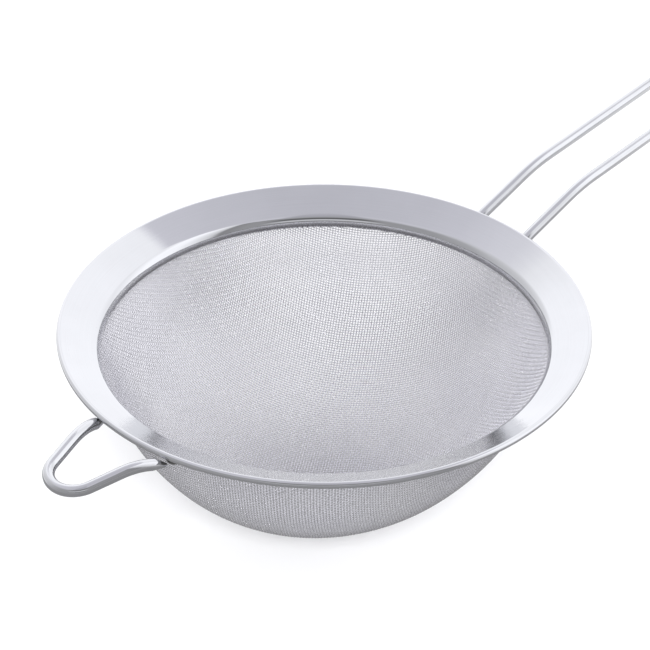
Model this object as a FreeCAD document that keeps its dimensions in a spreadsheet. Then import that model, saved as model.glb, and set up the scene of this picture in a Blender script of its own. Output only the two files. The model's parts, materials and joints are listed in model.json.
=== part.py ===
"""Fine-mesh tea strainer: a flanged steel rim, a woven wire-cloth bowl, a U-shaped
wire handle and a wire rest loop.

Millimetres, +Z up along the bowl's axis, +X towards the handle. The origin is on
the axis, halfway up the seat skirt that centres the strainer in a cup's mouth.
"""

import FreeCAD
import Part
import math
import os

import Sketcher
from FreeCAD import Vector

START, END, CENTRE = 1, 2, 3  # the points of a sketch's line or arc
SKETCH_ORIGIN = (-1, 1)

DIMENSIONS = {
    # rim
    "rim_diameter": 95.0,
    "opening_diameter": 79.7,
    "sheet_thickness": 0.4,
    "flange_slope": 25.0,
    "bend_radius": 2.0,
    "collar_straight": 0.5,
    "hem_radius": 0.6,
    "hem_return": 1.6,
    # ring that clamps the cloth under the flange
    "skirt_length": 1.2,
    "clamp_leg": 4.3,
    # woven wire cloth
    "cloth_thickness": 0.4,
    "cloth_margin": 4.0,
    "bowl_radius": 39.9,
    "bowl_depth": 32.75,
    # wire of the handle and the rest loop
    "wire_diameter": 2.1,
    "wire_tip_radius": 0.4,
    "wire_taper": 2.6,
    # handle
    "handle_foot_radius": 43.3,
    "handle_spacing": 11.25,
    "handle_lift_reach": 49.0,
    "handle_lift_radius": 12.0,
    "handle_rise": 18.1,
    "handle_knee_reach": 63.4,
    "handle_knee_radius": 36.0,
    "handle_grip_rise": 6.2,
    "handle_reach": 167.0,
    # rest loop
    "rest_foot_reach": 44.8,
    "rest_half_width": 7.2,
    "rest_taper": 16.0,
    "rest_knee_reach": 50.7,
    "rest_knee_radius": 13.0,
    "rest_droop": 8.4,
    "rest_reach": 64.15,
    # welds under the flange
    "weld_gap": 0.06,
    "weld_length": 2.2,
    "weld_width": 3.0,
    "weld_depth": 1.0,
    "handle_weld_setback": 1.2,
    "rest_weld_setback": 0.6,
    "weld_bite": 0.1,
}

doc = FreeCAD.newDocument("tea_strainer")


def make_sheet():
    """The spreadsheet that drives every sub-part."""
    sheet = doc.addObject("Spreadsheet::Sheet", "Dimensions")
    for row, (alias, value) in enumerate(DIMENSIONS.items(), start=1):
        sheet.set(f"A{row}", alias)
        sheet.set(f"B{row}", str(value))
        sheet.setAlias(f"B{row}", alias)
    doc.recompute()
    return sheet


sheet = make_sheet()


def size(alias):
    return float(sheet.get(alias))


# The rim's section, in the plane through the axis: radius across, height up.
SLOPE = math.radians(size("flange_slope"))
OUTWARD = Vector(math.cos(SLOPE), math.sin(SLOPE), 0)
ABOVE = Vector(-math.sin(SLOPE), math.cos(SLOPE), 0)
BEND_CENTRE = Vector(size("opening_diameter") / 2 + size("bend_radius"), size("skirt_length") / 2, 0)
HEM_REACH = size("rim_diameter") / 2 - size("hem_radius")
HEM_RISE = (
    size("bend_radius") - size("hem_radius") + (HEM_REACH - BEND_CENTRE.x) * math.sin(SLOPE)
) / math.cos(SLOPE)
HEM_CENTRE = Vector(HEM_REACH, BEND_CENTRE.y + HEM_RISE, 0)
STACK = 2 * size("hem_radius")


class Section:
    """A closed outline in the XZ plane of a body, driven by the spreadsheet."""

    def __init__(self, body):
        planes = body.Origin.OriginFeatures
        plane = next(p for p in planes if p.Role == "XZ_Plane")
        self.sketch = body.newObject("Sketcher::SketchObject", body.Name + "_section")
        self.sketch.AttachmentSupport = [(plane, "")]
        self.sketch.MapMode = "FlatFace"

    def line(self, start, end):
        return self.sketch.addGeometry(Part.LineSegment(start, end))

    def arc(self, centre, radius, start_degrees, end_degrees):
        circle = Part.Circle(centre, Vector(0, 0, 1), radius)
        start, end = math.radians(start_degrees), math.radians(end_degrees)
        return self.sketch.addGeometry(Part.ArcOfCircle(circle, start, end))

    def rule(self, *terms):
        return self.sketch.addConstraint(Sketcher.Constraint(*terms))

    def drive(self, name, expression, *terms):
        """Adds a dimension whose value is an expression of spreadsheet cells."""
        index = self.rule(*terms)
        self.sketch.renameConstraint(index, name)
        self.sketch.setExpression("Constraints." + name, expression)

    def tangent(self, *joints):
        for joint in joints:
            self.rule("Tangent", *joint)

    def meet(self, *joints):
        for joint in joints:
            self.rule("Coincident", *joint)


def revolve(body, section):
    """Turns a section through a full circle about the bowl's axis."""
    turned = body.newObject("PartDesign::Revolution", body.Name + "_turned")
    turned.Profile = section.sketch
    turned.ReferenceAxis = (section.sketch, ["V_Axis"])
    turned.Angle = 360
    body.Tip = turned


def new_body(label):
    body = doc.addObject("PartDesign::Body", label)
    body.Label = label
    return body


def make_rim_flange():
    """Collar, bend, sloping flange and the hem folded under its outer edge."""
    body = new_body("rim_flange")
    section = Section(body)
    sheet_thickness = size("sheet_thickness")
    hem_radius = size("hem_radius")
    bend_radius = size("bend_radius")
    slope = size("flange_slope")
    inside = size("opening_diameter") / 2
    outside = inside + sheet_thickness
    foot = BEND_CENTRE.y - size("collar_straight")
    hem_tip = HEM_CENTRE - ABOVE * hem_radius - OUTWARD * size("hem_return")

    wall = section.line(Vector(inside, foot), Vector(inside, BEND_CENTRE.y))
    bend = section.arc(BEND_CENTRE, bend_radius, 90 + slope, 180)
    top = section.line(BEND_CENTRE + ABOVE * bend_radius, HEM_CENTRE + ABOVE * hem_radius)
    hem = section.arc(HEM_CENTRE, hem_radius, slope - 90, slope + 90)
    under = section.line(HEM_CENTRE - ABOVE * hem_radius, hem_tip)
    tip = section.line(hem_tip, hem_tip + ABOVE * sheet_thickness)
    fold = section.line(
        hem_tip + ABOVE * sheet_thickness,
        HEM_CENTRE - ABOVE * (hem_radius - sheet_thickness),
    )
    hem_inside = section.arc(HEM_CENTRE, hem_radius - sheet_thickness, slope - 90, slope + 90)
    bottom = section.line(
        HEM_CENTRE + ABOVE * (hem_radius - sheet_thickness),
        BEND_CENTRE + ABOVE * (bend_radius - sheet_thickness),
    )
    bend_inside = section.arc(BEND_CENTRE, bend_radius - sheet_thickness, 90 + slope, 180)
    back = section.line(Vector(outside, BEND_CENTRE.y), Vector(outside, foot))
    edge = section.line(Vector(outside, foot), Vector(inside, foot))

    section.tangent(
        (wall, END, bend, END),
        (bend, START, top, START),
        (top, END, hem, END),
        (hem, START, under, START),
        (fold, END, hem_inside, START),
        (hem_inside, END, bottom, START),
        (bottom, END, bend_inside, START),
        (bend_inside, END, back, START),
    )
    section.meet(
        (under, END, tip, START),
        (tip, END, fold, START),
        (back, END, edge, START),
        (edge, END, wall, START),
        (bend, CENTRE, bend_inside, CENTRE),
        (hem, CENTRE, hem_inside, CENTRE),
    )
    section.rule("Vertical", wall)
    section.rule("Vertical", back)
    section.rule("Horizontal", edge)
    section.rule("Parallel", top, under)
    section.rule("Perpendicular", under, tip)
    section.rule("Perpendicular", tip, fold)
    section.drive("opening", "Dimensions.opening_diameter / 2", "DistanceX", *SKETCH_ORIGIN, wall, START, inside)
    section.drive(
        "bend_height", "Dimensions.skirt_length / 2", "DistanceY", *SKETCH_ORIGIN, bend, CENTRE, BEND_CENTRE.y
    )
    section.drive("bend_size", "Dimensions.bend_radius", "Radius", bend, bend_radius)
    section.drive("thickness", "Dimensions.sheet_thickness", "DistanceX", wall, START, back, END, sheet_thickness)
    section.drive(
        "collar", "Dimensions.collar_straight", "DistanceY", wall, START, bend, CENTRE, size("collar_straight")
    )
    section.drive("hem_size", "Dimensions.hem_radius", "Radius", hem, hem_radius)
    section.drive(
        "hem_hollow",
        "Dimensions.hem_radius - Dimensions.sheet_thickness",
        "Radius",
        hem_inside,
        hem_radius - sheet_thickness,
    )
    section.drive(
        "hem_reach",
        "Dimensions.rim_diameter / 2 - Dimensions.hem_radius",
        "DistanceX",
        *SKETCH_ORIGIN,
        hem,
        CENTRE,
        HEM_REACH,
    )
    section.drive("slope", "Dimensions.flange_slope * 1 deg", "Angle", top, SLOPE)
    section.drive("return_leg", "Dimensions.hem_return", "Distance", under, size("hem_return"))
    revolve(body, section)
    return body


def make_clamp_ring():
    """Angle ring under the flange: its sloping leg holds the cloth's margin against
    the flange, and its skirt is the cylinder that centres the strainer in a cup."""
    body = new_body("clamp_ring")
    section = Section(body)
    slope = size("flange_slope")
    thickness = size("sheet_thickness")
    inner_bend = size("bend_radius") - size("sheet_thickness") - size("cloth_thickness")
    outer_bend = inner_bend - thickness
    inside = BEND_CENTRE.x - inner_bend
    outside = BEND_CENTRE.x - outer_bend
    foot = BEND_CENTRE.y - size("skirt_length")
    leg = OUTWARD * size("clamp_leg")

    skirt = section.line(Vector(inside, foot), Vector(inside, BEND_CENTRE.y))
    bend = section.arc(BEND_CENTRE, inner_bend, 90 + slope, 180)
    top = section.line(BEND_CENTRE + ABOVE * inner_bend, BEND_CENTRE + ABOVE * inner_bend + leg)
    tip = section.line(
        BEND_CENTRE + ABOVE * inner_bend + leg,
        BEND_CENTRE + ABOVE * outer_bend + leg,
    )
    under = section.line(BEND_CENTRE + ABOVE * outer_bend + leg, BEND_CENTRE + ABOVE * outer_bend)
    bend_under = section.arc(BEND_CENTRE, outer_bend, 90 + slope, 180)
    seat = section.line(Vector(outside, BEND_CENTRE.y), Vector(outside, foot))
    edge = section.line(Vector(outside, foot), Vector(inside, foot))

    section.tangent(
        (skirt, END, bend, END),
        (bend, START, top, START),
        (under, END, bend_under, START),
        (bend_under, END, seat, START),
    )
    section.meet(
        (top, END, tip, START),
        (tip, END, under, START),
        (seat, END, edge, START),
        (edge, END, skirt, START),
        (bend, CENTRE, bend_under, CENTRE),
    )
    section.rule("Vertical", skirt)
    section.rule("Vertical", seat)
    section.rule("Horizontal", edge)
    section.rule("Perpendicular", top, tip)
    section.rule("Parallel", top, under)
    section.drive(
        "bend_reach",
        "Dimensions.opening_diameter / 2 + Dimensions.bend_radius",
        "DistanceX",
        *SKETCH_ORIGIN,
        bend,
        CENTRE,
        BEND_CENTRE.x,
    )
    section.drive(
        "bend_height", "Dimensions.skirt_length / 2", "DistanceY", *SKETCH_ORIGIN, bend, CENTRE, BEND_CENTRE.y
    )
    section.drive(
        "bend_size",
        "Dimensions.bend_radius - Dimensions.sheet_thickness - Dimensions.cloth_thickness",
        "Radius",
        bend,
        inner_bend,
    )
    section.drive("thickness", "Dimensions.sheet_thickness", "DistanceX", skirt, START, seat, END, thickness)
    section.drive("skirt", "Dimensions.skirt_length", "Distance", skirt, size("skirt_length"))
    section.drive("slope", "Dimensions.flange_slope * 1 deg", "Angle", top, SLOPE)
    section.drive("leg", "Dimensions.clamp_leg", "Distance", top, size("clamp_leg"))
    revolve(body, section)
    return body


def flank_lean(ball_centre_height, ball_radius, kink):
    """Angle from vertical of the straight line from kink down to the ball it touches."""
    reach = math.hypot(kink.x, kink.y - ball_centre_height)
    bearing = math.atan2(kink.y - ball_centre_height, kink.x)
    return math.acos(ball_radius / reach) - bearing


def make_mesh_bowl():
    """The wire cloth as one skin: a ball-shaped bottom, a straight flank, and the
    margin that turns up behind the collar and out under the flange."""
    body = new_body("mesh_bowl")
    section = Section(body)
    slope = size("flange_slope")
    thickness = size("cloth_thickness")
    inner_ball = size("bowl_radius") - thickness / 2
    outer_ball = size("bowl_radius") + thickness / 2
    centre = Vector(0, outer_ball - size("bowl_depth"))
    inner_bend = size("bend_radius") - size("sheet_thickness")
    outer_bend = inner_bend - thickness
    inner_kink = Vector(BEND_CENTRE.x - inner_bend, BEND_CENTRE.y - size("collar_straight"))
    lean = flank_lean(centre.y, inner_ball, inner_kink)
    square = Vector(math.cos(lean), -math.sin(lean))
    outer_kink = inner_kink + Vector(thickness, -thickness * math.tan(lean / 2))
    margin = OUTWARD * size("cloth_margin")
    flank_angle = -math.degrees(lean)

    pole = section.line(Vector(0, centre.y - outer_ball), Vector(0, centre.y - inner_ball))
    ball_inside = section.arc(centre, inner_ball, -90, flank_angle)
    flank_inside = section.line(centre + square * inner_ball, inner_kink)
    wall_inside = section.line(inner_kink, Vector(inner_kink.x, BEND_CENTRE.y))
    bend_inside = section.arc(BEND_CENTRE, inner_bend, 90 + slope, 180)
    margin_top = section.line(BEND_CENTRE + ABOVE * inner_bend, BEND_CENTRE + ABOVE * inner_bend + margin)
    selvage = section.line(
        BEND_CENTRE + ABOVE * inner_bend + margin,
        BEND_CENTRE + ABOVE * outer_bend + margin,
    )
    margin_under = section.line(BEND_CENTRE + ABOVE * outer_bend + margin, BEND_CENTRE + ABOVE * outer_bend)
    bend_outside = section.arc(BEND_CENTRE, outer_bend, 90 + slope, 180)
    wall_outside = section.line(Vector(outer_kink.x, BEND_CENTRE.y), outer_kink)
    flank_outside = section.line(outer_kink, centre + square * outer_ball)
    ball_outside = section.arc(centre, outer_ball, -90, flank_angle)

    section.tangent(
        (ball_inside, END, flank_inside, START),
        (wall_inside, END, bend_inside, END),
        (bend_inside, START, margin_top, START),
        (margin_under, END, bend_outside, START),
        (bend_outside, END, wall_outside, START),
        (flank_outside, END, ball_outside, END),
    )
    section.meet(
        (pole, END, ball_inside, START),
        (flank_inside, END, wall_inside, START),
        (margin_top, END, selvage, START),
        (selvage, END, margin_under, START),
        (wall_outside, END, flank_outside, START),
        (ball_outside, START, pole, START),
        (ball_inside, CENTRE, ball_outside, CENTRE),
        (bend_inside, CENTRE, bend_outside, CENTRE),
    )
    section.rule("Vertical", pole)
    section.rule("Vertical", wall_inside)
    section.rule("Vertical", wall_outside)
    section.rule("PointOnObject", pole, START, -2)
    section.rule("PointOnObject", ball_inside, CENTRE, -2)
    section.rule("Parallel", flank_inside, flank_outside)
    section.rule("Parallel", margin_top, margin_under)
    section.rule("Perpendicular", margin_top, selvage)
    section.drive(
        "ball_size",
        "Dimensions.bowl_radius - Dimensions.cloth_thickness / 2",
        "Radius",
        ball_inside,
        inner_ball,
    )
    section.drive("cloth", "Dimensions.cloth_thickness", "Distance", pole, thickness)
    section.drive("depth", "Dimensions.bowl_depth", "DistanceY", pole, START, *SKETCH_ORIGIN, size("bowl_depth"))
    section.drive(
        "bend_reach",
        "Dimensions.opening_diameter / 2 + Dimensions.bend_radius",
        "DistanceX",
        *SKETCH_ORIGIN,
        bend_inside,
        CENTRE,
        BEND_CENTRE.x,
    )
    section.drive(
        "bend_height",
        "Dimensions.skirt_length / 2",
        "DistanceY",
        *SKETCH_ORIGIN,
        bend_inside,
        CENTRE,
        BEND_CENTRE.y,
    )
    section.drive(
        "bend_size", "Dimensions.bend_radius - Dimensions.sheet_thickness", "Radius", bend_inside, inner_bend
    )
    section.drive(
        "bend_thickness", "Dimensions.cloth_thickness", "DistanceX", wall_inside, END, wall_outside, START, thickness
    )
    section.drive(
        "kink_drop",
        "Dimensions.collar_straight",
        "DistanceY",
        wall_inside,
        START,
        bend_inside,
        CENTRE,
        size("collar_straight"),
    )
    section.drive("slope", "Dimensions.flange_slope * 1 deg", "Angle", margin_top, SLOPE)
    section.drive("margin", "Dimensions.cloth_margin", "Distance", margin_top, size("cloth_margin"))
    revolve(body, section)
    return body


def wire_height(radius):
    """Height of a wire's axis where it lies under the clamp ring and the hem."""
    drop = size("bend_radius") - STACK - size("weld_gap") - size("wire_diameter") / 2
    foot = BEND_CENTRE + ABOVE * drop
    return foot.y + (radius - foot.x) * math.tan(SLOPE)


def mirrored(points):
    """The same points on the other side of the XZ plane, in reverse order."""
    return [Vector(p.x, -p.y, p.z) for p in reversed(points)]


def bent_wire(label, corners, radii):
    """A round wire along a path of straight runs joined by tangent arcs, with its two
    ends drawn down to blunt points."""
    wire_radius = size("wire_diameter") / 2
    taper = size("wire_taper")
    start = corners[0] + (corners[1] - corners[0]).normalize() * taper
    finish = corners[-1] + (corners[-2] - corners[-1]).normalize() * taper
    edges = []
    run_start = start
    for before, corner, after, radius in zip(corners, corners[1:], corners[2:], radii):
        back = (before - corner).normalize()
        ahead = (after - corner).normalize()
        half_angle = back.getAngle(ahead) / 2
        setback = radius / math.tan(half_angle)
        arc_start = corner + back * setback
        arc_end = corner + ahead * setback
        middle_way = (back + ahead).normalize()
        arc_middle = corner + middle_way * (radius / math.sin(half_angle) - radius)
        if (arc_start - run_start).Length > 1e-6:
            edges.append(Part.LineSegment(run_start, arc_start).toShape())
        edges.append(Part.Arc(arc_start, arc_middle, arc_end).toShape())
        run_start = arc_end
    edges.append(Part.LineSegment(run_start, finish).toShape())
    tips = []
    for tip, next_corner in ((corners[0], corners[1]), (corners[-1], corners[-2])):
        inward = (next_corner - tip).normalize()
        tips.append(Part.makeCone(size("wire_tip_radius"), wire_radius, taper, tip, inward))
    circle = Part.makeCircle(wire_radius, start, corners[1] - corners[0])
    swept = Part.Wire(edges).makePipeShell([Part.Wire(circle)], True, False)
    wire = doc.addObject("Part::Feature", label)
    wire.Label = label
    wire.Shape = swept.fuse(tips)
    wire.Placement = FreeCAD.Placement()
    return wire


def under_flange(x, y):
    """The point of a wire's axis where it lies under the flange."""
    return Vector(x, y, wire_height(math.hypot(x, y)))


def make_handle_wire():
    """One wire: two straight parallel legs welded under the flange, a knee that
    levels them, and a half-round end to hang the strainer by."""
    side = size("handle_spacing") / 2
    foot = under_flange(math.sqrt(size("handle_foot_radius") ** 2 - side**2), side)
    lift = under_flange(size("handle_lift_reach"), side)
    knee_x = size("handle_knee_reach")
    knee_rise = (knee_x - lift.x) * math.tan(math.radians(size("handle_rise")))
    knee = Vector(knee_x, side, lift.z + knee_rise)
    end_x = size("handle_reach") - size("wire_diameter") / 2
    grip_rise = (end_x - knee_x) * math.tan(math.radians(size("handle_grip_rise")))
    end = Vector(end_x, side, knee.z + grip_rise)
    half = [foot, lift, knee, end]
    bends = [size("handle_lift_radius"), size("handle_knee_radius"), side * 0.999]
    return bent_wire("handle_wire", half + mirrored(half), bends + bends[::-1]), [foot, lift]


def make_rest_loop():
    """One wire on the side away from the handle: two legs that draw together, a
    knee that turns them down and a round nose that rests on a cup's brim."""
    taper = math.tan(math.radians(size("rest_taper")))
    droop = math.tan(math.radians(size("rest_droop")))
    knee_x = size("rest_knee_reach")
    knee = under_flange(-knee_x, size("rest_half_width"))
    foot_x = size("rest_foot_reach")
    foot = under_flange(-foot_x, knee.y + (knee_x - foot_x) * taper)
    # The drooping legs lie in one sloping plane and would cross at the meeting
    # point; the nose rounds that corner off.
    meeting_x = knee_x + knee.y / taper
    meeting = Vector(-meeting_x, 0, knee.z - (meeting_x - knee_x) * droop)
    half_angle = (knee - meeting).getAngle(Vector(knee.x, 0, knee.z) - meeting)
    nose_gap = (meeting_x - size("rest_reach") + size("wire_diameter") / 2) * math.hypot(1, droop)
    nose_radius = nose_gap / (1 / math.sin(half_angle) - 1)
    corners = [foot, knee, meeting] + mirrored([foot, knee])
    bends = [size("rest_knee_radius"), nose_radius, size("rest_knee_radius")]
    return bent_wire("rest_loop", corners, bends), [foot, knee]


def make_weld(label, leg, setback, neighbours):
    """The bead of weld metal that joins one wire leg to the metal above it: the lower
    half of an ellipsoid, its middle set back from the wire's end, with the wire and
    the rings it touches taken out of it."""
    foot, outer = leg
    along = (outer - foot).normalize()
    middle = foot + along * setback
    bearing = math.atan2(middle.y, middle.x)
    up = Vector(ABOVE.x * math.cos(bearing), ABOVE.x * math.sin(bearing), ABOVE.y)
    bead = doc.addObject("Part::Ellipsoid", f"{label}_bead")
    bead.Angle1 = -90
    bead.Angle2 = 0
    bead.setExpression("Radius1", "Dimensions.weld_depth")
    bead.setExpression("Radius2", "Dimensions.weld_length / 2")
    bead.setExpression("Radius3", "Dimensions.weld_width / 2")
    lift = size("wire_diameter") / 2 + size("weld_gap") + size("weld_bite")
    turn = FreeCAD.Rotation(along, up.cross(along), up, "ZXY")
    bead.Placement = FreeCAD.Placement(middle + up * lift, turn)
    weld = bead
    for neighbour in neighbours:
        fitted = doc.addObject("Part::Cut", f"{label}_beside_{neighbour.Label}")
        fitted.Base = weld
        fitted.Tool = neighbour
        weld = fitted
    weld.Label = label
    return weld


def other_side(leg):
    return [Vector(p.x, -p.y, p.z) for p in leg]


def make_strainer():
    rim_flange = make_rim_flange()
    clamp_ring = make_clamp_ring()
    mesh_bowl = make_mesh_bowl()
    handle_wire, handle_leg = make_handle_wire()
    rest_loop, rest_leg = make_rest_loop()
    pieces = [rim_flange, clamp_ring, mesh_bowl, handle_wire, rest_loop]
    for name, wire, leg in (("handle", handle_wire, handle_leg), ("rest", rest_loop, rest_leg)):
        setback = size(f"{name}_weld_setback")
        neighbours = [wire, clamp_ring, rim_flange]
        pieces.append(make_weld(f"{name}_weld_left", leg, setback, neighbours))
        pieces.append(make_weld(f"{name}_weld_right", other_side(leg), setback, neighbours))
    return pieces


def check(pieces):
    """Stops if any object failed to compute or any sub-part isn't a sound solid."""
    for item in doc.Objects:
        if "Invalid" in item.State or "Error" in item.State:
            raise RuntimeError(f"{item.Name} failed: {item.State}")
        if item.isDerivedFrom("Sketcher::SketchObject") and not item.FullyConstrained:
            raise RuntimeError(f"{item.Name} is not fully constrained")
    for piece in pieces:
        if piece.Shape.isNull() or not piece.Shape.isValid() or not piece.Shape.Solids:
            raise RuntimeError(f"{piece.Label} has no sound solid")


pieces = make_strainer()
doc.recompute()
check(pieces)
os.makedirs("parts", exist_ok=True)
for piece in pieces:
    piece.Shape.exportStep(f"parts/{piece.Label}.step")
    box = piece.Shape.optimalBoundingBox()
    print(
        f"{piece.Label}: solids {len(piece.Shape.Solids)}, volume {piece.Shape.Volume:.1f} mm3, "
        f"x {box.XMin:.2f}..{box.XMax:.2f}, y {box.YMin:.2f}..{box.YMax:.2f}, z {box.ZMin:.2f}..{box.ZMax:.2f}"
    )
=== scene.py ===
"""The looks of the tea strainer: a woven wire bowl in a polished sheet-steel rim,
with a bent wire handle and rest loop, on a pale floor.

Shapes are worked out in millimetres in the CAD model's frame: +Z up along the
bowl's axis, +X towards the handle, origin at the middle of the seat skirt.
"""

import json
import math

import bpy
import numpy as np
from mathutils import Matrix, Vector


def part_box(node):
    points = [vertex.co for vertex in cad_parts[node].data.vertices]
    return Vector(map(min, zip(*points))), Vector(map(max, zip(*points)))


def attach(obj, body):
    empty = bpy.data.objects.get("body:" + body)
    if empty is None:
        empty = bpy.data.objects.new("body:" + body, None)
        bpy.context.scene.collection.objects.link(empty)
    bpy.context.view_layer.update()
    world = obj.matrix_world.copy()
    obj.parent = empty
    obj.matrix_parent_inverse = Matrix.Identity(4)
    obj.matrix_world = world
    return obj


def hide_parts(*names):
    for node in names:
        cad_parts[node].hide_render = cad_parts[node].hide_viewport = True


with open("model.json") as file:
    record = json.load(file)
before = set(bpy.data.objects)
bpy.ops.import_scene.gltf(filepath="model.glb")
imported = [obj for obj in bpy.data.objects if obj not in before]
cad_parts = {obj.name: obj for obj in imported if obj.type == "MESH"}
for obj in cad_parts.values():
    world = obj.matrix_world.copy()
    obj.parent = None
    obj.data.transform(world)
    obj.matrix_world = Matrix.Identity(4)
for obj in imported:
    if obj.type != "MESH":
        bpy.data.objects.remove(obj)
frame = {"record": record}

MM = 0.001
UP = np.array([0, 0, 1.0])
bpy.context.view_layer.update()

# Sizes of the CAD model, in millimetres.
SEAT = next(mount["dims"] for mount in frame["record"]["mounts"] if mount["name"] == "cup_seat")
RIM_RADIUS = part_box("rim_flange")[1].x / MM
BOWL_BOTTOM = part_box("mesh_bowl")[0].z / MM
HANDLE_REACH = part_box("handle_wire")[1].x / MM
REST_REACH = -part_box("rest_loop")[0].x / MM
SHEET = 0.4
CLOTH = 0.4
BEND_RADIUS = 2.0
HEM_RADIUS = 0.6
HEM_RETURN = 1.6
COLLAR_STRAIGHT = 0.5
CLAMP_REACH = 4.3
FLANGE_SLOPE = math.radians(25.0)
WIRE_RADIUS = 1.05
BOWL_RADIUS = 39.9

# The rim's section, across (radius) and up (height).
OUTWARD = np.array([math.cos(FLANGE_SLOPE), math.sin(FLANGE_SLOPE)])
ABOVE = np.array([-math.sin(FLANGE_SLOPE), math.cos(FLANGE_SLOPE)])
BEND = np.array([SEAT["r_mm"] + BEND_RADIUS - 2 * SHEET - CLOTH, SEAT["length_mm"] / 2])
HEM_REACH = RIM_RADIUS - HEM_RADIUS
HEM_RISE = (
    BEND_RADIUS - HEM_RADIUS + (HEM_REACH - BEND[0]) * math.sin(FLANGE_SLOPE)
) / math.cos(FLANGE_SLOPE)
HEM = np.array([HEM_REACH, BEND[1] + HEM_RISE])
COLLAR_FOOT = BEND[1] - COLLAR_STRAIGHT


# ---------------------------------------------------------------- meshes


def mesh_object(name, points, faces, node, material, uv=None):
    """A smooth-shaded piece from points in millimetres, riding on the root body."""
    mesh = bpy.data.meshes.new(name)
    sizes = np.array([len(face) for face in faces])
    mesh.vertices.add(len(points))
    mesh.vertices.foreach_set("co", (np.asarray(points, float) * MM).ravel())
    mesh.loops.add(int(sizes.sum()))
    mesh.loops.foreach_set("vertex_index", np.concatenate([np.asarray(face) for face in faces]))
    mesh.polygons.add(len(faces))
    mesh.polygons.foreach_set("loop_start", np.concatenate([[0], np.cumsum(sizes)[:-1]]))
    mesh.polygons.foreach_set("use_smooth", np.ones(len(faces), bool))
    mesh.update(calc_edges=True)
    mesh.validate()
    if uv is not None:
        layer = mesh.uv_layers.new(name="along")
        corners = np.empty(len(mesh.loops), int)
        mesh.loops.foreach_get("vertex_index", corners)
        layer.data.foreach_set("uv", np.asarray(uv, float)[corners].ravel())
    mesh.materials.append(material)
    piece = bpy.data.objects.new(name, mesh)
    bpy.context.scene.collection.objects.link(piece)
    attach(piece, "root")
    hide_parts(node)


def tube_rings(path, normals, radii, sides):
    """Rings of points round a path, square to it, starting from its normals."""
    tangents = np.gradient(path, axis=0)
    tangents /= np.linalg.norm(tangents, axis=1, keepdims=True)
    across = np.cross(tangents, normals)
    across /= np.linalg.norm(across, axis=1, keepdims=True)
    up = np.cross(across, tangents)
    turn = np.linspace(0, 2 * math.pi, sides, endpoint=False)[None, :, None]
    spokes = np.cos(turn) * up[:, None, :] + np.sin(turn) * across[:, None, :]
    return path[:, None, :] + np.broadcast_to(radii, len(path))[:, None, None] * spokes


def tube_faces(first, rings, sides):
    """The side faces and the two end faces of a tube whose points start at first."""
    faces = []
    for ring in range(rings - 1):
        start = first + ring * sides
        for k in range(sides):
            m = (k + 1) % sides
            faces.append((start + k, start + sides + k, start + sides + m, start + m))
    last = first + (rings - 1) * sides
    faces.append(tuple(first + k for k in range(sides)))
    faces.append(tuple(last + k for k in reversed(range(sides))))
    return faces


# ---------------------------------------------------------------- materials


class Shader:
    """A node material with short calls for the nodes that the steels share."""

    def __init__(self, name):
        self.material = bpy.data.materials.new(name)
        self.material.use_nodes = True
        self.tree = self.material.node_tree
        self.surface = self.tree.nodes["Principled BSDF"]

    def node(self, kind, **values):
        made = self.tree.nodes.new(kind)
        for key, value in values.items():
            setattr(made, key, value)
        return made

    def link(self, source, target):
        self.tree.links.new(source, target)

    def feed(self, terms, sockets):
        """Gives each socket its term, a plain number or another node's output."""
        for term, socket in zip(terms, sockets):
            if isinstance(term, (int, float)):
                socket.default_value = term
            else:
                self.link(term, socket)

    def place(self):
        """Where a point of the piece is, in metres."""
        return self.node("ShaderNodeTexCoord").outputs["Object"]

    def math(self, operation, *terms):
        made = self.node("ShaderNodeMath", operation=operation)
        self.feed(terms, made.inputs)
        return made.outputs[0]

    def blend(self, one, other, share):
        """A share of other and the rest of one."""
        rest = self.math("MULTIPLY", one, 1 - share)
        return self.math("ADD", rest, self.math("MULTIPLY", other, share))

    def combine(self, *terms):
        made = self.node("ShaderNodeCombineXYZ")
        self.feed(terms, made.inputs)
        return made.outputs[0]

    def split(self, vector):
        made = self.node("ShaderNodeSeparateXYZ")
        self.link(vector, made.inputs[0])
        return made.outputs

    def dot(self, vector, axis):
        made = self.node("ShaderNodeVectorMath", operation="DOT_PRODUCT")
        self.link(vector, made.inputs[0])
        made.inputs[1].default_value = axis
        return made.outputs["Value"]

    def noise(self, vector, scale, detail=2.0):
        made = self.node("ShaderNodeTexNoise")
        made.inputs["Scale"].default_value = scale
        made.inputs["Detail"].default_value = detail
        self.link(vector, made.inputs["Vector"])
        return made.outputs["Fac"]

    def ramp(self, value, low, high, from_low=0.3, from_high=0.7):
        """Spreads a value's range, a noise's usual one if none is given, over low to high."""
        made = self.node("ShaderNodeMapRange")
        made.inputs["From Min"].default_value = from_low
        made.inputs["From Max"].default_value = from_high
        made.inputs["To Min"].default_value = low
        made.inputs["To Max"].default_value = high
        self.link(value, made.inputs["Value"])
        return made.outputs["Result"]

    def tint(self, value, dark, light):
        """Base colour between two tones."""
        made = self.node("ShaderNodeMix", data_type="RGBA")
        made.inputs["A"].default_value = (*dark, 1)
        made.inputs["B"].default_value = (*light, 1)
        self.link(value, made.inputs["Factor"])
        self.link(made.outputs["Result"], self.surface.inputs["Base Color"])

    def roughness(self, value, low, high):
        self.link(self.ramp(value, low, high), self.surface.inputs["Roughness"])

    def bump(self, height, distance):
        """Relief of a depth given in metres."""
        made = self.node("ShaderNodeBump")
        made.inputs["Distance"].default_value = distance
        made.inputs["Strength"].default_value = 1.0
        self.link(height, made.inputs["Height"])
        self.link(made.outputs["Normal"], self.surface.inputs["Normal"])


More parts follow.
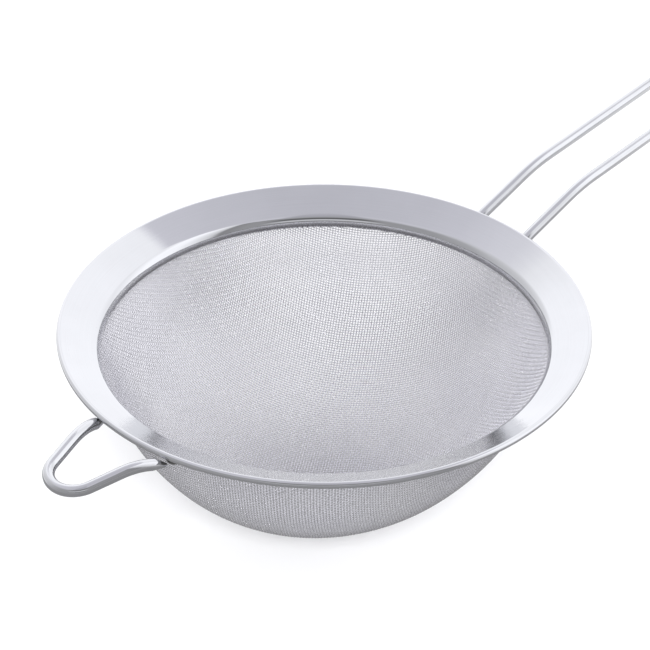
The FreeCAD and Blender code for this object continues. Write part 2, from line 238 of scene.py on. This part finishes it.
# Scales of the noises: of the sheet's polishing rings, per metre along and across
# themselves, and of the thick wire's draw lines, per millimetre along the wire. Round
# the wire, the draw lines' noise is read on a circle of the last value's radius.
RING_SCALE_ALONG = 60.0
RING_SCALE_ACROSS = 9000.0
DRAW_LINE_SCALE = 0.12
DRAW_LINES_ROUND = 9.0
# The height, in millimetres over the collar's foot, over which the painted shade in the
# crevice where the collar and the clamp ring close on the cloth gives way to unshaded sheet.
CREVICE_SHADE_TOP = 0.5
UNSHADED_FROM = 1.0


def sheet_steel():
    """Pressed and polished sheet: faint polishing rings about the bowl's axis, and
    painted shade, darker down in the crevice at the collar."""
    shader = Shader("sheet_steel")
    shader.surface.inputs["Metallic"].default_value = 1.0
    place = shader.place()
    x, y, z = shader.split(place)
    squares = shader.math("ADD", shader.math("MULTIPLY", x, x), shader.math("MULTIPLY", y, y))
    across = shader.math("ADD", shader.math("SQRT", squares), z)
    ring_place = shader.combine(
        shader.math("MULTIPLY", x, RING_SCALE_ALONG),
        shader.math("MULTIPLY", y, RING_SCALE_ALONG),
        shader.math("MULTIPLY", across, RING_SCALE_ACROSS),
    )
    rings = shader.noise(ring_place, 1.0, detail=3.0)
    clouds = shader.noise(place, 90.0, detail=3.0)
    specks = shader.noise(place, 1400.0)
    polish = shader.ramp(shader.blend(clouds, rings, 0.4), 0.84, 1.0)
    # Painted shade: the collar's sheet is darkened towards its foot, in the crevice at the cloth.
    crevice_shade = shader.ramp(z, 0.0, 1.0, (COLLAR_FOOT + CREVICE_SHADE_TOP) * MM, (COLLAR_FOOT + UNSHADED_FROM) * MM)
    polish_and_shade = shader.math("MINIMUM", polish, crevice_shade)
    shader.tint(polish_and_shade, dark=(0.4, 0.4, 0.405), light=(0.69, 0.695, 0.715))
    shader.roughness(shader.blend(rings, specks, 0.4), 0.015, 0.045)
    shader.bump(rings, 0.000002)
    return shader.material


def drawn_wire():
    """Thick bright wire with fine draw lines along it."""
    shader = Shader("drawn_wire")
    shader.surface.inputs["Metallic"].default_value = 1.0
    length, turn, _ = shader.split(shader.node("ShaderNodeUVMap", uv_map="along").outputs[0])
    angle = shader.math("MULTIPLY", turn, 2 * math.pi)
    line_place = shader.combine(
        shader.math("MULTIPLY", length, DRAW_LINE_SCALE),
        shader.math("MULTIPLY", shader.math("COSINE", angle), DRAW_LINES_ROUND),
        shader.math("MULTIPLY", shader.math("SINE", angle), DRAW_LINES_ROUND),
    )
    lines = shader.noise(line_place, 1.0, detail=4.0)
    clouds = shader.noise(shader.place(), 160.0, detail=3.0)
    tone = shader.ramp(shader.blend(clouds, lines, 0.5), 0.0, 1.0)
    shader.tint(tone, dark=(0.62, 0.625, 0.64), light=(0.7, 0.705, 0.725))
    shader.roughness(lines, 0.04, 0.1)
    shader.bump(lines, 0.000006)
    return shader.material


def woven_wire():
    """Thin bright wire, slightly dull and a little uneven from wire to wire."""
    shader = Shader("woven_wire")
    shader.surface.inputs["Metallic"].default_value = 0.92
    place = shader.place()
    patches = shader.noise(place, 70.0, detail=3.0)
    grains = shader.noise(place, 2600.0)
    tone = shader.ramp(shader.blend(patches, grains, 0.5), 0.0, 1.0)
    shader.tint(tone, dark=(0.885, 0.88, 0.92), light=(0.985, 0.98, 1.0))
    shader.roughness(grains, 0.16, 0.28)
    shader.bump(grains, 0.00001)
    return shader.material


def weld_metal():
    """Dark, lumpy weld beads with a faint warm tint."""
    shader = Shader("weld_metal")
    shader.surface.inputs["Metallic"].default_value = 1.0
    place = shader.place()
    lumps = shader.noise(place, 900.0, detail=4.0)
    heat = shader.ramp(shader.noise(place, 350.0), 0.0, 1.0)
    shader.tint(heat, dark=(0.2, 0.195, 0.19), light=(0.38, 0.375, 0.37))
    shader.roughness(lumps, 0.28, 0.45)
    shader.bump(lumps, 0.00005)
    return shader.material


SHEET_STEEL = sheet_steel()
DRAWN_WIRE = drawn_wire()
WOVEN_WIRE = woven_wire()
WELD_METAL = weld_metal()


# ---------------------------------------------------------------- rim and clamp ring

RIM_EDGE = 0.13  # the radius of the sheet's cut edges, in millimetres
CLAMP_EDGE = 0.12
RIM_SEGMENTS = 400
CLAMP_SEGMENTS = 320
STRAIGHT_END = 0.01  # where a straight stretch's outermost inner points lie, as a share of it


def arc(centre, radius, start, end, steps):
    """Points of an arc in the section plane, from start to end in degrees."""
    angles = np.radians(np.linspace(start, end, steps + 1))
    return [np.array(centre) + radius * np.array([math.cos(a), math.sin(a)]) for a in angles]


def straight(start, end, steps):
    """Inner points of a straight stretch, crowded at its ends to keep it flat."""
    fractions = [STRAIGHT_END] + [i / steps for i in range(1, steps)] + [1 - STRAIGHT_END]
    return [np.array(start) + (np.array(end) - np.array(start)) * f for f in fractions]


def rim_warp(turn, radius):
    """The flange's slight unevenness in height, nothing at the collar."""
    reach = np.clip((radius - BEND[0]) / (RIM_RADIUS - BEND[0]), 0, 1) ** 2
    wave = 0.03 * np.sin(2 * turn + 0.6) + 0.015 * np.sin(5 * turn + 2.1) + 0.006 * np.sin(11 * turn)
    return reach * wave


def lathe(name, outline, segments, node):
    """A closed outline of (radius, height) points turned about the bowl's axis."""
    radius, height = np.array(outline).T
    turn = np.linspace(0, 2 * math.pi, segments, endpoint=False)[:, None]
    height = height + rim_warp(turn, radius)
    points = np.stack([radius * np.cos(turn), radius * np.sin(turn), height], axis=-1)
    count = len(outline)
    faces = []
    for a in range(segments):
        b = (a + 1) % segments
        for k in range(count):
            m = (k + 1) % count
            faces.append((a * count + k, b * count + k, b * count + m, a * count + m))
    mesh_object(name, points.reshape(-1, 3), faces, node, SHEET_STEEL)


def make_rim():
    """The collar, the inner bend, the flange and the hem folded under its edge."""
    slope = math.degrees(FLANGE_SLOPE)
    edge = RIM_EDGE
    inside = BEND[0] - BEND_RADIUS
    outside = inside + SHEET
    fold = HEM_RADIUS - SHEET
    hem_tip = HEM - ABOVE * HEM_RADIUS - OUTWARD * HEM_RETURN
    outline = []
    outline += arc((inside + edge, COLLAR_FOOT + edge), edge, 180, 270, 5)
    outline += arc((outside - edge, COLLAR_FOOT + edge), edge, 270, 360, 5)
    outline += arc(BEND, BEND_RADIUS - SHEET, 180, 90 + slope, 14)
    outline += straight(BEND + ABOVE * (BEND_RADIUS - SHEET), HEM + ABOVE * fold, 10)
    outline += arc(HEM, fold, 90 + slope, slope - 90, 10)
    outline += straight(HEM - ABOVE * fold, hem_tip + ABOVE * SHEET + OUTWARD * edge, 3)
    outline += arc(hem_tip + ABOVE * (SHEET - edge) + OUTWARD * edge, edge, 90 + slope, 180 + slope, 5)
    outline += arc(hem_tip + ABOVE * edge + OUTWARD * edge, edge, 180 + slope, 270 + slope, 5)
    outline += straight(hem_tip + OUTWARD * edge, HEM - ABOVE * HEM_RADIUS, 3)
    outline += arc(HEM, HEM_RADIUS, slope - 90, slope + 90, 28)
    outline += straight(HEM + ABOVE * HEM_RADIUS, BEND + ABOVE * BEND_RADIUS, 12)
    outline += arc(BEND, BEND_RADIUS, 90 + slope, 180, 16)
    lathe("rim", outline, RIM_SEGMENTS, "rim_flange")


def make_clamp_ring():
    """The ring under the flange, whose skirt drops into a cup's mouth."""
    slope = math.degrees(FLANGE_SLOPE)
    edge = CLAMP_EDGE
    leg = OUTWARD * CLAMP_REACH
    inner = BEND_RADIUS - SHEET - CLOTH
    outer = inner - SHEET
    foot = BEND[1] - SEAT["length_mm"]
    inside = BEND[0] - inner
    outside = BEND[0] - outer
    outline = []
    outline += arc((inside + edge, foot + edge), edge, 180, 270, 5)
    outline += arc((outside - edge, foot + edge), edge, 270, 360, 5)
    outline += arc(BEND, outer, 180, 90 + slope, 10)
    outline += straight(BEND + ABOVE * outer, BEND + ABOVE * outer + leg, 6)
    outline += arc(BEND + ABOVE * (outer + edge) + leg, edge, slope - 90, slope, 5)
    outline += arc(BEND + ABOVE * (inner - edge) + leg, edge, slope, slope + 90, 5)
    outline += straight(BEND + ABOVE * inner + leg, BEND + ABOVE * inner, 6)
    outline += arc(BEND, inner, 90 + slope, 180, 12)
    lathe("clamp", outline, CLAMP_SEGMENTS, "clamp_ring")


# ---------------------------------------------------------------- woven wire cloth

WARP_PITCH = 0.522
WEFT_PITCH = 0.457
WARP_BEARING = math.radians(-56.3)
CLOTH_WIRE = 0.2
CLOTH_REACH = 1.43  # from the lowest point up the bowl's side, as a multiple of its radius
BOWL_SAG = np.array([-0.7, 0.71, 0.0]) * 2.2
BOWL_BULGE = 0.3
BULGE_DEPTH = 0.5  # how far down the bowl the bulge reaches, as a share of its depth
BULGE_RISE = 0.6  # below 1, the bulge is fullest near the collar
WIRE_SIDES = 6
PIECES_EACH_WAY = 3
FEWEST_CROSSINGS = 4  # shorter wires at the cloth's four sides are left out


def net_quadrant(warp_step, weft_step, reach):
    """A quarter of a net of equal-sided cells on a unit ball, from its lowest point.

    Two wires through that point keep to great circles. Every other crossing closes
    the four-sided cell of its neighbours, as woven wires do by pivoting where they
    cross. Crossings further than reach from the lowest point are left out.
    """
    counts = [int(reach / step) + 1 for step in (warp_step, weft_step)]
    net = np.full((counts[0] + 1, counts[1] + 1, 3), np.nan)
    for i in range(counts[0] + 1):
        net[i, 0] = (math.sin(i * warp_step), 0, -math.cos(i * warp_step))
    for j in range(counts[1] + 1):
        net[0, j] = (0, math.sin(j * weft_step), -math.cos(j * weft_step))
    lowest = -math.cos(reach)
    for j in range(1, counts[1] + 1):
        for i in range(1, counts[0] + 1):
            one, other, corner = net[i, j - 1], net[i - 1, j], net[i - 1, j - 1]
            if math.isnan(one[2] + other[2]):
                break
            middle = one + other
            middle /= math.sqrt(middle @ middle)
            crossing = 2 * (middle @ corner) * middle - corner
            if crossing[2] <= lowest:
                net[i, j] = crossing
    net[net[:, :, 2] > lowest] = np.nan
    return net


def whole_net(warp_step, weft_step, reach):
    """The quarter net and its mirror images, joined along the two middle wires."""
    quarter = net_quadrant(warp_step, weft_step, reach)
    half = np.concatenate([quarter[:0:-1] * (-1, 1, 1), quarter])
    return np.concatenate([half[:, :0:-1] * (1, -1, 1), half], axis=1)


def bowl_section(length):
    """The cloth's middle surface: radius, height and outward normal at a distance
    up the bowl's side from its lowest point."""
    centre = BOWL_BOTTOM + BOWL_RADIUS + CLOTH / 2
    kink = np.array([BEND[0] - BEND_RADIUS + SHEET, COLLAR_FOOT])
    kink_reach = math.hypot(kink[0], kink[1] - centre)
    lean = math.acos((BOWL_RADIUS - CLOTH / 2) / kink_reach) - math.atan2(kink[1] - centre, kink[0])
    kink = kink + np.array([1, -math.tan(lean / 2)]) * CLOTH / 2
    flank_start = np.array([0, centre]) + BOWL_RADIUS * np.array([math.cos(lean), -math.sin(lean)])
    ball_length = BOWL_RADIUS * (math.pi / 2 - lean)
    flank_length = math.dist(flank_start, kink)
    angle = np.minimum(length, ball_length) / BOWL_RADIUS
    flank = np.clip(length - ball_length, 0, flank_length)
    wall = np.maximum(length - ball_length - flank_length, 0)
    radius = BOWL_RADIUS * np.sin(angle) + flank * math.sin(lean)
    height = centre - BOWL_RADIUS * np.cos(angle) + flank * math.cos(lean) + wall
    tilt = np.where(wall > 0, 0, math.pi / 2 - angle)
    return radius, height, np.cos(tilt), -np.sin(tilt)


def bowl_surface(net):
    """Places ball directions on the bowl: points and outward normals, in millimetres."""
    angle = np.arccos(np.clip(-net[..., 2], -1, 1))
    bearing = np.arctan2(net[..., 1], net[..., 0]) + WARP_BEARING
    radius, height, normal_out, normal_up = bowl_section(angle * BOWL_RADIUS)
    heading = np.stack([np.cos(bearing), np.sin(bearing), np.zeros_like(bearing)], axis=-1)
    points = heading * radius[..., None] + UP * height[..., None]
    normals = heading * normal_out[..., None] + UP * normal_up[..., None]
    depth = np.clip((COLLAR_FOOT - height) / (COLLAR_FOOT - BOWL_BOTTOM), 0, 1)
    bulge = BOWL_BULGE * np.sin(math.pi * np.clip(depth / BULGE_DEPTH, 0, 1) ** BULGE_RISE)
    return points + BOWL_SAG * depth[..., None] + heading * bulge[..., None], normals


def make_cloth_piece(name, points, normals, lift):
    """Tubes through the rows of a grid of crossings, waving over and under."""
    vertices, faces, first = [], [], 0
    for row in range(points.shape[1]):
        present = np.flatnonzero(~np.isnan(points[:, row, 2]))
        if len(present) < FEWEST_CROSSINGS:
            continue
        path = points[present, row] + normals[present, row] * lift[present, row][:, None]
        rings = tube_rings(path, normals[present, row], CLOTH_WIRE / 2, WIRE_SIDES)
        vertices.append(rings.reshape(-1, 3))
        faces += tube_faces(first, len(path), WIRE_SIDES)
        first += len(path) * WIRE_SIDES
    mesh_object(name, np.concatenate(vertices), faces, "mesh_bowl", WOVEN_WIRE)


def make_cloth_way(way, points, normals, lift):
    """All the wires that run one way, shared out between a few pieces."""
    shares = np.array_split(np.arange(points.shape[1]), PIECES_EACH_WAY)
    for number, rows in enumerate(shares, start=1):
        make_cloth_piece(f"cloth_{way}_{number}", points[:, rows], normals[:, rows], lift[:, rows])


def make_cloth():
    """The bowl's warp and weft, each wire a tube over and under its neighbours."""
    net = whole_net(WARP_PITCH / BOWL_RADIUS, WEFT_PITCH / BOWL_RADIUS, CLOTH_REACH)
    points, normals = bowl_surface(net)
    across, along = np.indices(points.shape[:2])
    lift = np.where((across + along) % 2, 1.0, -1.0) * CLOTH_WIRE / 2
    make_cloth_way("warp", points, normals, lift)
    make_cloth_way("weft", points.swapaxes(0, 1), normals.swapaxes(0, 1), -lift.T)


# ---------------------------------------------------------------- handle and rest loop

WELD_GAP = 0.06
HANDLE_SIDE = 11.25 / 2
HANDLE_LIFT_X = 49.0
HANDLE_LIFT_BEND = 12.0
HANDLE_KNEE_X = 63.4
HANDLE_KNEE_BEND = 36.0
HANDLE_RISE = math.radians(18.1)
GRIP_RISE = math.radians(6.2)
HANDLE_FOOT_RADIUS = 43.3
REST_KNEE_X = 50.7
REST_KNEE_BEND = 13.0
REST_HALF_WIDTH = 7.2
REST_TAPER = math.radians(16.0)
REST_DROOP = math.radians(8.4)
REST_FOOT_X = 44.8
THICK_WIRE_SIDES = 28
TIP_RADIUS = 0.4
TIP_BEVEL = 0.1
TAPER = 2.6
TAPER_GAP = 0.2  # the path's own points keep this far from the tapered ends
PATH_STEP = 2.0
ARC_STEP = 3  # in degrees

# A wire's tapered end: radius at distances from the tip.
WIRE_END = [(0.0, TIP_RADIUS - TIP_BEVEL), (TIP_BEVEL, TIP_RADIUS), (TAPER, WIRE_RADIUS)]


def under_flange(x, y):
    """The point of a wire's axis where it lies under the flange."""
    drop = BEND_RADIUS - 2 * HEM_RADIUS - WELD_GAP - WIRE_RADIUS
    foot = BEND + ABOVE * drop
    return np.array([x, y, foot[1] + (math.hypot(x, y) - foot[0]) * math.tan(FLANGE_SLOPE)])


def mirrored(points):
    """The same corners on the other side, in the opposite order."""
    return [p * np.array([1, -1, 1]) for p in reversed(points)]


def unit(vector):
    return vector / np.linalg.norm(vector)


def run(points, end):
    """Adds the inner points of a straight run to a path, without the end itself."""
    start = points[-1]
    count = max(2, int(np.linalg.norm(end - start) / PATH_STEP))
    points += [start + (end - start) * i / count for i in range(1, count)]


def bent_path(corners, radii):
    """Points of a path of straight runs joined by tangent arcs. The last corner isn't
    one of them: the path ends at the last run's last inner point, 1 to 3 mm short."""
    points = [corners[0]]
    for before, corner, after, radius in zip(corners, corners[1:], corners[2:], radii):
        back, ahead = unit(before - corner), unit(after - corner)
        half = math.acos(np.clip(back @ ahead, -1, 1)) / 2
        middle = unit(back + ahead)
        centre = corner + middle * radius / math.sin(half)
        across = unit(ahead - back)
        sweep = math.pi / 2 - half
        run(points, corner + back * radius / math.tan(half))
        for a in np.linspace(-sweep, sweep, max(6, int(math.degrees(2 * sweep) / ARC_STEP)) + 1):
            points.append(centre + radius * (across * math.sin(a) - middle * math.cos(a)))
    run(points, corners[-1])
    return np.array(points)


def lengths_along(path):
    """How far along a path each of its points is."""
    steps = np.linalg.norm(np.diff(path, axis=0), axis=1)
    return np.concatenate([[0], np.cumsum(steps)])


def make_bent_wire(name, corners, radii, node):
    """A bent round wire with tapered ends and a hand-bent wire's slight waviness."""
    path = bent_path(corners, radii)
    length = lengths_along(path)
    start, end = unit(path[1] - path[0]), unit(path[-1] - path[-2])
    full = (length > TAPER + TAPER_GAP) & (length < length[-1] - TAPER - TAPER_GAP)
    wave = 0.02 * np.sin(length / 7.3) + 0.012 * np.sin(length / 3.1 + 1.0)
    head = [path[0] + start * depth for depth, _ in WIRE_END]
    middle = path[full] + UP * wave[full][:, None]
    tail = [path[-1] - end * depth for depth, _ in reversed(WIRE_END)]
    taper = [radius for _, radius in WIRE_END]
    path = np.array(head + list(middle) + tail)
    thickness = np.array(taper + [WIRE_RADIUS] * len(middle) + taper[::-1])
    rings = tube_rings(path, np.tile(UP, (len(path), 1)), thickness, THICK_WIRE_SIDES)
    faces = tube_faces(0, len(path), THICK_WIRE_SIDES)
    turn = np.arange(THICK_WIRE_SIDES) / THICK_WIRE_SIDES
    uv = np.stack(np.broadcast_arrays(lengths_along(path)[:, None], turn), axis=-1).reshape(-1, 2)
    mesh_object(name, rings.reshape(-1, 3), faces, node, DRAWN_WIRE, uv)


def make_handle():
    """The long U, and where its left leg starts and first bends."""
    foot = under_flange(math.sqrt(HANDLE_FOOT_RADIUS**2 - HANDLE_SIDE**2), HANDLE_SIDE)
    lift = under_flange(HANDLE_LIFT_X, HANDLE_SIDE)
    knee = lift + (HANDLE_KNEE_X - HANDLE_LIFT_X) * np.array([1, 0, math.tan(HANDLE_RISE)])
    end_x = HANDLE_REACH - WIRE_RADIUS
    end = knee + (end_x - HANDLE_KNEE_X) * np.array([1, 0, math.tan(GRIP_RISE)])
    half = [foot, lift, knee, end]
    end_bend = HANDLE_SIDE * 0.999  # a hair under half round, so that its two arcs don't overlap
    bends = [HANDLE_LIFT_BEND, HANDLE_KNEE_BEND, end_bend]
    make_bent_wire("handle", half + mirrored(half), bends + bends[::-1], "handle_wire")
    return foot, lift


def make_rest_loop():
    """The short loop opposite the handle, and where its left leg starts and bends."""
    knee = under_flange(-REST_KNEE_X, REST_HALF_WIDTH)
    foot_y = knee[1] + (REST_KNEE_X - REST_FOOT_X) * math.tan(REST_TAPER)
    foot = under_flange(-REST_FOOT_X, foot_y)
    reach = knee[1] / math.tan(REST_TAPER)
    meeting = np.array([knee[0] - reach, 0, knee[2] - reach * math.tan(REST_DROOP)])
    half_angle = math.acos(unit(knee - meeting) @ unit(knee * np.array([1, 0, 1]) - meeting))
    nose_gap = (-meeting[0] - REST_REACH + WIRE_RADIUS) / math.cos(REST_DROOP)
    nose = nose_gap / (1 / math.sin(half_angle) - 1)
    corners = [foot, knee, meeting] + mirrored([foot, knee])
    make_bent_wire("rest", corners, [REST_KNEE_BEND, nose, REST_KNEE_BEND], "rest_loop")
    return foot, knee


# ---------------------------------------------------------------- welds

WELD_LENGTH = 2.2
WELD_WIDTH = 3.0
WELD_DEPTH = 1.0
WELD_BITE = 0.1  # how far a bead's top goes into the ring above it
WELD_ROWS = 14
WELD_COLUMNS = 28
HANDLE_WELD_SETBACK = 1.2  # from the wire's foot to the bead's middle
REST_WELD_SETBACK = 0.6


def make_weld(name, foot, outer, setback, node):
    """A lumpy bead for a wire's foot, where it meets the rings above it."""
    along = unit(outer - foot)
    middle = foot + along * setback
    bearing = math.atan2(middle[1], middle[0])
    up = np.array([ABOVE[0] * math.cos(bearing), ABOVE[0] * math.sin(bearing), ABOVE[1]])
    across = unit(np.cross(up, along))
    top = middle + up * (WIRE_RADIUS + WELD_GAP + WELD_BITE)
    points, faces = [top - up * WELD_DEPTH], []
    for row in range(1, WELD_ROWS + 1):
        dip = math.pi / 2 * row / WELD_ROWS
        for column in range(WELD_COLUMNS):
            turn = 2 * math.pi * column / WELD_COLUMNS
            lump = 1 + 0.05 * math.sin(3 * turn + 5 * dip + middle[1]) + 0.03 * math.sin(7 * turn)
            points.append(
                top
                + along * WELD_LENGTH / 2 * lump * math.sin(dip) * math.cos(turn)
                + across * WELD_WIDTH / 2 * lump * math.sin(dip) * math.sin(turn)
                - up * WELD_DEPTH * math.cos(dip)
            )
    for column in range(WELD_COLUMNS):
        after = (column + 1) % WELD_COLUMNS
        faces.append((0, 1 + after, 1 + column))
        for row in range(WELD_ROWS - 1):
            near, far = 1 + row * WELD_COLUMNS, 1 + (row + 1) * WELD_COLUMNS
            faces.append((near + column, near + after, far + after, far + column))
    lid = 1 + (WELD_ROWS - 1) * WELD_COLUMNS
    faces.append(tuple(lid + column for column in range(WELD_COLUMNS)))
    mesh_object(name, points, faces, node, WELD_METAL)


def make_welds(name, setback, foot, outer):
    """The beads of a wire's left end and of its mirror image, the right end."""
    flip = np.array([1, -1, 1])
    make_weld(f"weld_{name}_left", foot, outer, setback, f"{name}_weld_left")
    make_weld(f"weld_{name}_right", foot * flip, outer * flip, setback, f"{name}_weld_right")


make_rim()
make_clamp_ring()
make_cloth()
make_welds("handle", HANDLE_WELD_SETBACK, *make_handle())
make_welds("rest", REST_WELD_SETBACK, *make_rest_loop())


# ---------------------------------------------------------------- studio

VIEW_BEARING = math.radians(44.5)  # the camera looks this way, from +X towards +Y
VIEW_DROP = math.radians(34.17)
VIEW_DISTANCE = 494.0
VIEW_AHEAD = (math.cos(VIEW_BEARING), math.sin(VIEW_BEARING), 0)
VIEW_RIGHT = (math.sin(VIEW_BEARING), -math.cos(VIEW_BEARING), 0)
AIM_RIGHT = 0.14
AIM_UP = -0.07
LENS = 153.9

FLOOR_SIZE = 6000.0
FLOOR_GAP = 0.2
GLOW_START = 30.0
GLOW_FULL = 90.0


def floor_sheet(name, level, tone, roughness):
    """A wide pale floor at a level in millimetres."""
    size = FLOOR_SIZE * MM
    height = level * MM
    mesh = bpy.data.meshes.new(name)
    corners = [(x * size, y * size, height) for x, y in ((-1, -1), (1, -1), (1, 1), (-1, 1))]
    mesh.from_pydata(corners, [], [(0, 1, 2, 3)])
    shader = Shader(name)
    shader.surface.inputs["Base Color"].default_value = (tone, tone, tone, 1)
    shader.surface.inputs["Roughness"].default_value = roughness
    shader.surface.inputs["Emission Color"].default_value = (1, 1, 1, 1)
    mesh.materials.append(shader.material)
    floor = bpy.data.objects.new(name, mesh)
    bpy.context.scene.collection.objects.link(floor)
    return floor, shader


def make_floor():
    """Two sheets, one just above the other: an overexposed one that only the camera
    sees, on which only the darkest of the shadow shows, and the one that the steel
    reflects, brighter beyond the strainer."""
    reflected, shader = floor_sheet("floor_reflected", BOWL_BOTTOM - FLOOR_GAP, 0.2, 0.3)
    reflected.visible_camera = False
    beyond = shader.dot(shader.place(), VIEW_AHEAD)
    glow = shader.ramp(beyond, 0.05, 0.6, GLOW_START * MM, GLOW_FULL * MM)
    shader.link(glow, shader.surface.inputs["Emission Strength"])

    seen, _ = floor_sheet("floor_seen", BOWL_BOTTOM, 0.9, 1.0)
    seen.visible_glossy = False
    seen.visible_diffuse = False
    seen.visible_shadow = False


class WorldNodes(Shader):
    """The same short calls for the world's nodes."""

    def __init__(self, name):
        world = bpy.data.worlds.new(name)
        bpy.context.scene.world = world
        world.use_nodes = True
        self.tree = world.node_tree
        self.tree.nodes.clear()

    def curve(self, value, span, stops):
        """A curve through (place, level) stops, whose places run over span. The stops
        hold half the levels, since a colour ramp is for colours up to 1."""
        low, high = span
        made = self.node("ShaderNodeValToRGB")
        ramp = made.color_ramp
        while len(ramp.elements) < len(stops):
            ramp.elements.new(0.5)
        for element, (place, level) in zip(ramp.elements, stops):
            element.position = (place - low) / (high - low)
            element.color = (level / 2, level / 2, level / 2, 1)
        self.link(self.ramp(value, 0.0, 1.0, low, high), made.inputs["Fac"])
        return self.math("MULTIPLY", made.outputs["Color"], 2.0)

    def mix(self, share, one, other):
        """one where share is 0, other where it is 1."""
        made = self.node("ShaderNodeMix", data_type="FLOAT")
        self.link(share, made.inputs["Factor"])
        self.link(one, made.inputs["A"])
        self.link(other, made.inputs["B"])
        return made.outputs["Result"]


# Angles in the room are in degrees. A bearing is clockwise from the way the camera
# looks, and a height is above the horizon.
FULL_TURN = (-180, 180)
HEIGHTS = (0, 90)
# Brightness round the room, by bearing: a dim room on the left, a white wall beyond
# the strainer, a lamp's large diffuser on the right with a sharp far edge, and the
# dark behind it.
ROUND_THE_ROOM = [
    (-180, 0.42), (-125, 0.46), (-100, 0.56), (-80, 0.74), (-58, 0.88),
    (-42, 1.08), (-30, 1.36), (-10, 1.38), (3, 1.26), (16, 1.4),
    (35, 1.34), (52, 1.2), (66, 1.3), (80, 1.46), (100, 1.42),
    (114, 1.12), (122, 0.9), (127, 0.34), (140, 0.42), (180, 0.42),
]
# How high the lit wall and diffuser reach, by bearing.
LIT_TOP = [
    (-180, 52), (-60, 52), (-30, 48), (0, 47), (30, 53),
    (70, 60), (110, 62), (125, 58), (180, 50),
]
# Their top edge is soft on the left and sharp from ahead round to the right.
SOFT_EDGE = 9.0
SOFT_BEARING = -45.0
SHARP_EDGE = 1.2
SHARP_BEARING = -10.0
EDGE_UNEVENNESS = 9.0
# The ceiling's brightness over them, by height.
CEILING = [(40, 0.92), (55, 0.86), (70, 0.76), (90, 0.7)]
# The camera's side of the room, by height: the camera's own dark shape with a paler
# gap under it. It fades in between two bearings, on the left and on the right.
CAMERA_SIDE = [
    (0, 0.26), (8, 0.3), (12, 0.78), (22, 0.78),
    (27, 0.15), (38, 0.2), (46, 0.5), (90, 0.7),
]
CAMERA_SIDE_START = 148.0
CAMERA_SIDE_FULL = 160.0
WALL_COLOUR = (0.965, 0.97, 1.0, 1)
CEILING_COLOUR = (0.975, 0.97, 1.055, 1)
SUN_STRENGTH = 3.8
SUN_WIDTH = math.radians(30)


def make_world():
    """The studio that the steel reflects, and a white backdrop for the camera."""
    world = WorldNodes("studio")
    direction = world.node("ShaderNodeTexCoord").outputs["Generated"]
    ahead = world.dot(direction, VIEW_AHEAD)
    right = world.dot(direction, VIEW_RIGHT)
    bearing = world.math("DEGREES", world.math("ARCTAN2", right, ahead))
    height = world.math("DEGREES", world.math("ARCSINE", world.dot(direction, (0, 0, 1))))

    walls = world.curve(bearing, FULL_TURN, ROUND_THE_ROOM)
    top_share = world.curve(bearing, FULL_TURN, [(place, top / 90) for place, top in LIT_TOP])
    over_top = world.math("SUBTRACT", height, world.math("MULTIPLY", top_share, 90.0))
    patches = world.math("SUBTRACT", world.noise(direction, 5.0, detail=1.0), 0.5)
    above = world.math("ADD", over_top, world.math("MULTIPLY", patches, EDGE_UNEVENNESS))
    softness = world.ramp(bearing, SOFT_EDGE, SHARP_EDGE, SOFT_BEARING, SHARP_BEARING)
    overhead = world.ramp(world.math("DIVIDE", above, softness), 0.0, 1.0, -1.0, 1.0)
    room = world.mix(overhead, walls, world.curve(height, HEIGHTS, CEILING))
    off_ahead = world.math("ABSOLUTE", bearing)
    behind = world.ramp(off_ahead, 0.0, 1.0, CAMERA_SIDE_START, CAMERA_SIDE_FULL)
    brightness = world.mix(behind, room, world.curve(height, HEIGHTS, CAMERA_SIDE))

    colour = world.node("ShaderNodeMix", data_type="RGBA")
    colour.inputs["A"].default_value = WALL_COLOUR
    colour.inputs["B"].default_value = CEILING_COLOUR
    world.link(overhead, colour.inputs["Factor"])
    light = world.node("ShaderNodeBackground")
    world.link(colour.outputs["Result"], light.inputs["Color"])
    world.link(brightness, light.inputs["Strength"])
    backdrop = world.node("ShaderNodeBackground")
    backdrop.inputs["Color"].default_value = (1, 1, 1, 1)
    pick = world.node("ShaderNodeMixShader")
    world.link(world.node("ShaderNodeLightPath").outputs["Is Camera Ray"], pick.inputs["Fac"])
    world.link(light.outputs[0], pick.inputs[1])
    world.link(backdrop.outputs[0], pick.inputs[2])
    world.link(pick.outputs[0], world.node("ShaderNodeOutputWorld").inputs["Surface"])


def make_front_light():
    """A wide soft light from the camera's side, which whitens the floor and doesn't
    show in the steel."""
    data = bpy.data.lights.new("front_light", "SUN")
    data.energy = SUN_STRENGTH
    data.angle = SUN_WIDTH
    light = bpy.data.objects.new("front_light", data)
    bpy.context.scene.collection.objects.link(light)
    light.visible_glossy = False
    light.matrix_world = bpy.context.scene.camera.matrix_world


def make_camera():
    """The camera, looking down at the rim's middle as the handle goes off to the right."""
    camera = bpy.data.objects.new("camera", bpy.data.cameras.new("camera"))
    bpy.context.scene.collection.objects.link(camera)
    camera.data.lens = LENS
    camera.data.sensor_width = 36
    camera.data.clip_start = 0.01
    camera.data.clip_end = 20
    right = Vector(VIEW_RIGHT)
    forward = Vector(VIEW_AHEAD) * math.cos(VIEW_DROP) - Vector((0, 0, 1)) * math.sin(VIEW_DROP)
    up = right.cross(forward)
    aim = Vector((0, 0, HEM[1])) + right * AIM_RIGHT + up * AIM_UP
    turn = Matrix((right, up, -forward)).transposed().to_4x4()
    camera.matrix_world = Matrix.Translation((aim - forward * VIEW_DISTANCE) * MM) @ turn
    bpy.context.scene.camera = camera


make_floor()
make_world()
make_camera()
make_front_light()
bpy.context.scene.view_settings.view_transform = "Standard"
